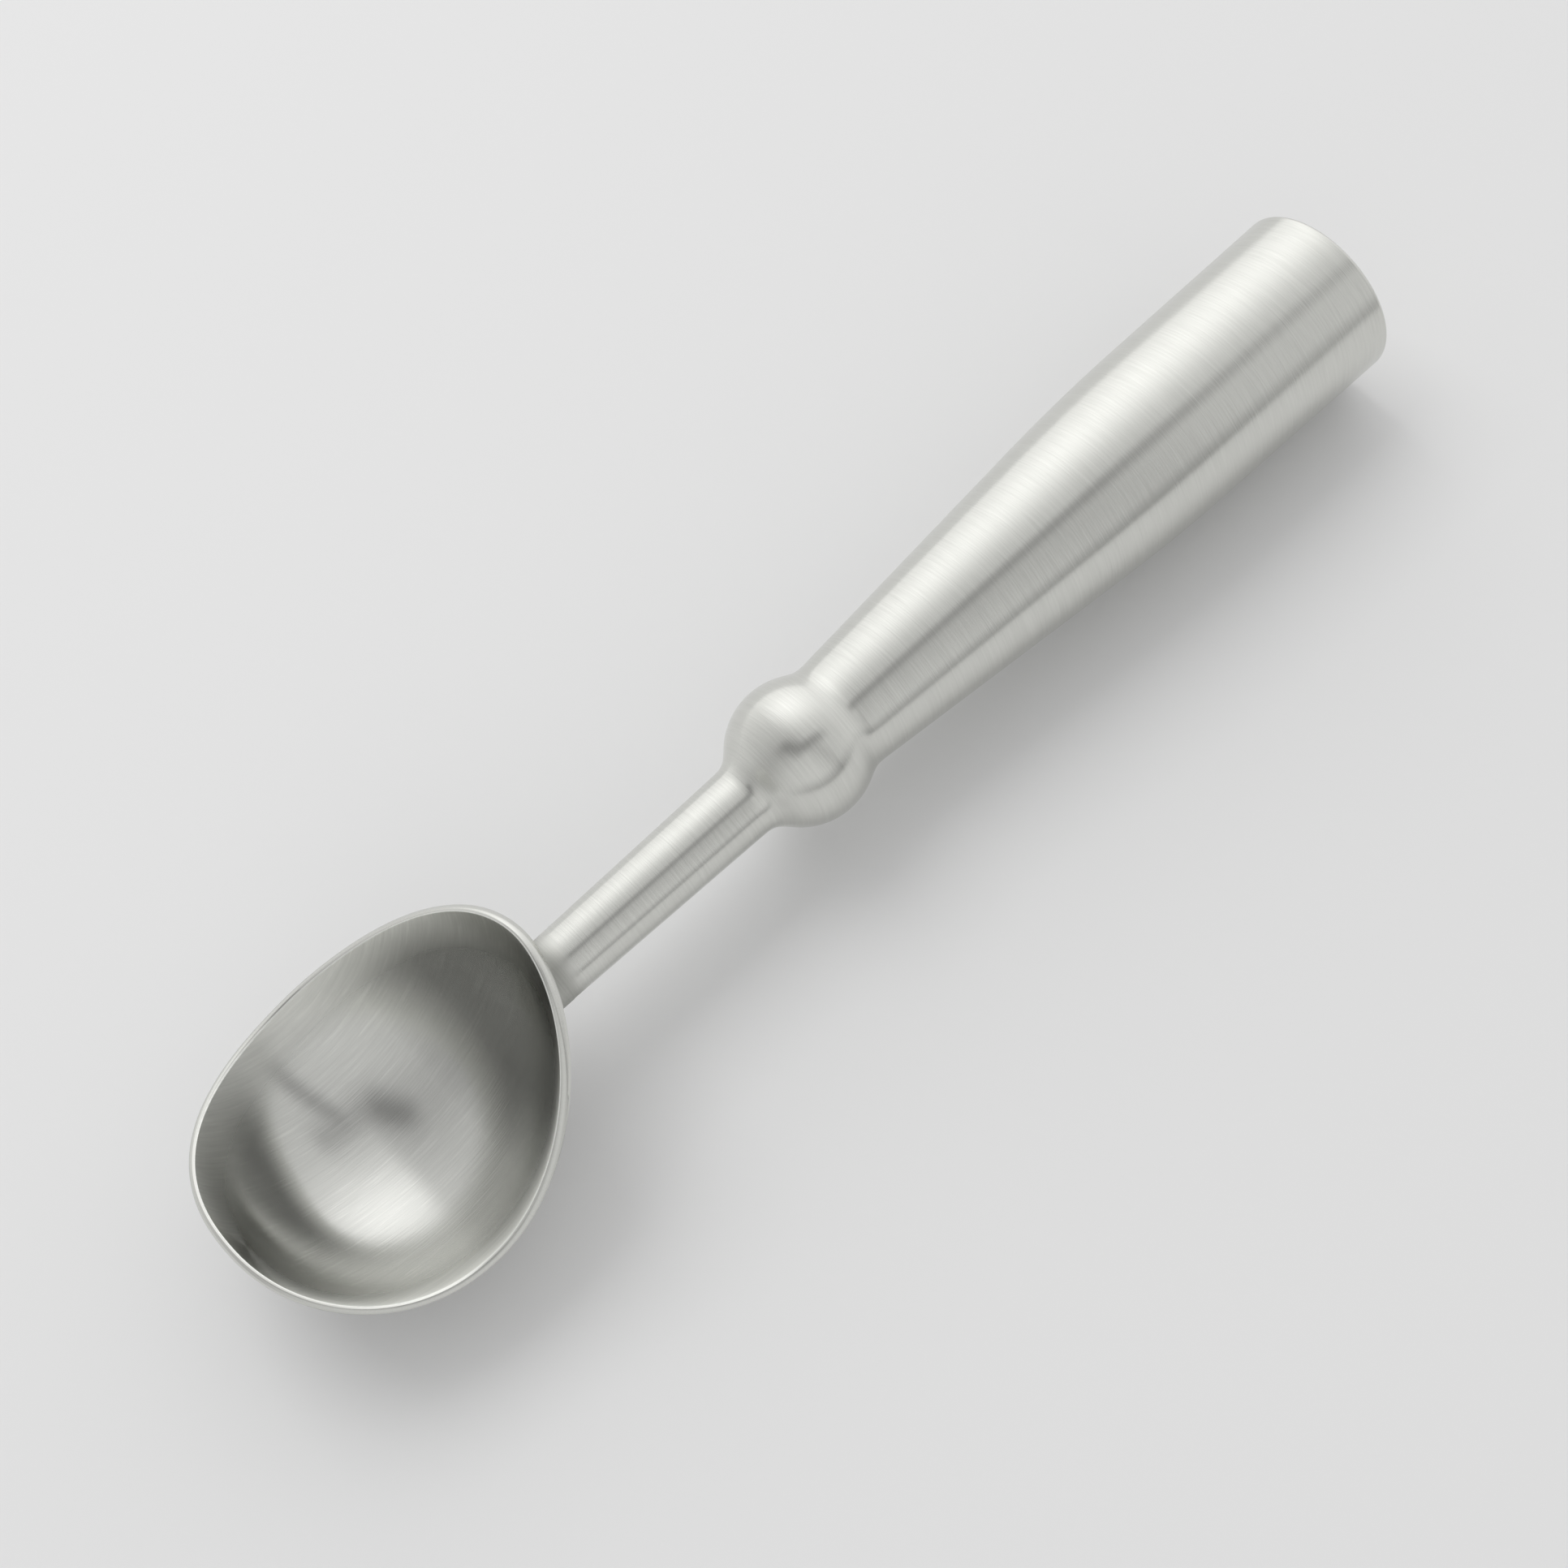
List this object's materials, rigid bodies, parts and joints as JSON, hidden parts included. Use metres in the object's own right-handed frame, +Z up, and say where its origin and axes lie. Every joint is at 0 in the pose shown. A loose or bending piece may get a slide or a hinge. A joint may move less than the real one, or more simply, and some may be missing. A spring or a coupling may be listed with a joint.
{
  "type": "ice cream scoop",
  "caption": "Plain metal ice cream scoop with an egg-shaped pressed bowl, a turned neck, a ball bolster and a hollow tapered round handle.",
  "frame": {"origin": "centre of the bounding box in X and Y, and the ground in Z", "axes": "+X from the bowl to the handle, +Y to the left of that, +Z up from the ground, out of the open side of the bowl"},
  "size_m": [0.155, 0.036, 0.0255],
  "materials": {
    "satin_steel": "satin, fine grinding marks",
    "inner_steel": "as machined",
    "rubber_seal": "matt"
  },
  "bodies": {
    "root": {"bowl": "satin_steel", "bowl_weld": "satin_steel", "neck": "satin_steel", "ball_bolster": "satin_steel", "bolster_seal": "rubber_seal", "anti_turn_pin": "inner_steel", "handle": "satin_steel", "clamp_disc": "inner_steel", "lock_washer": "inner_steel", "tang_nut": "inner_steel", "end_cap": "satin_steel", "end_cap_seal": "rubber_seal"}
  },
  "joints": []
}
